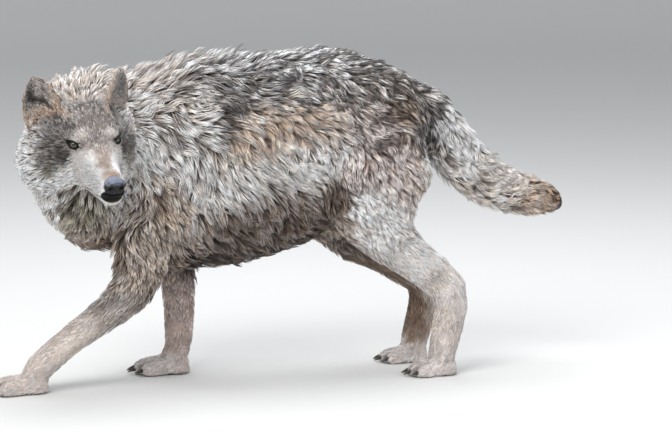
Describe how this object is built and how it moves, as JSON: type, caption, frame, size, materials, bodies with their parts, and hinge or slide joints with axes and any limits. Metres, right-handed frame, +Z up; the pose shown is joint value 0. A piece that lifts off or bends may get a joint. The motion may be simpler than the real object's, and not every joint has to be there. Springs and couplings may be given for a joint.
{
  "type": "grey wolf model",
  "caption": "Life-size still model of a grey wolf walking with its head turned to its left, for standing on a level floor or plinth.",
  "frame": {"origin": "centre of the bounding box's bottom, on the floor under the belly", "axes": "+X towards the tail, so the chest faces -X; the wolf's left side faces -Y; +Z up"},
  "size_m": [1.3174, 0.5076, 0.7315],
  "materials": {
    "coat_head": "short grey-brown and cream fur",
    "coat_neck": "long cream and grey mane fur",
    "coat_body": "long buff, grey and black-tipped fur",
    "coat_tail": "bushy buff fur with a dark tip",
    "coat_leg": "short pale cream fur",
    "nose_leather": "black moist nose leather",
    "eye": "amber iris under a clear moist surface",
    "claw": "dark horn"
  },
  "bodies": {
    "root": {"claw_fore_left_1": "claw", "claw_fore_left_2": "claw", "claw_fore_left_3": "claw", "claw_fore_left_4": "claw", "claw_fore_right_1": "claw", "claw_fore_right_2": "claw", "claw_fore_right_3": "claw", "claw_fore_right_4": "claw", "claw_hind_left_1": "claw", "claw_hind_left_2": "claw", "claw_hind_left_3": "claw", "claw_hind_left_4": "claw", "claw_hind_right_1": "claw", "claw_hind_right_2": "claw", "claw_hind_right_3": "claw", "claw_hind_right_4": "claw", "ear_left": "coat_head", "ear_right": "coat_head", "eye_left": "eye", "eye_right": "eye", "foreleg_left": "coat_leg", "foreleg_right": "coat_leg", "forepaw_left": "coat_leg", "forepaw_right": "coat_leg", "head": "coat_head", "hindleg_left": "coat_leg", "hindleg_right": "coat_leg", "hindpaw_left": "coat_leg", "hindpaw_right": "coat_leg", "neck": "coat_neck", "nose": "nose_leather", "tail": "coat_tail", "trunk": "coat_body"}
  },
  "joints": []
}
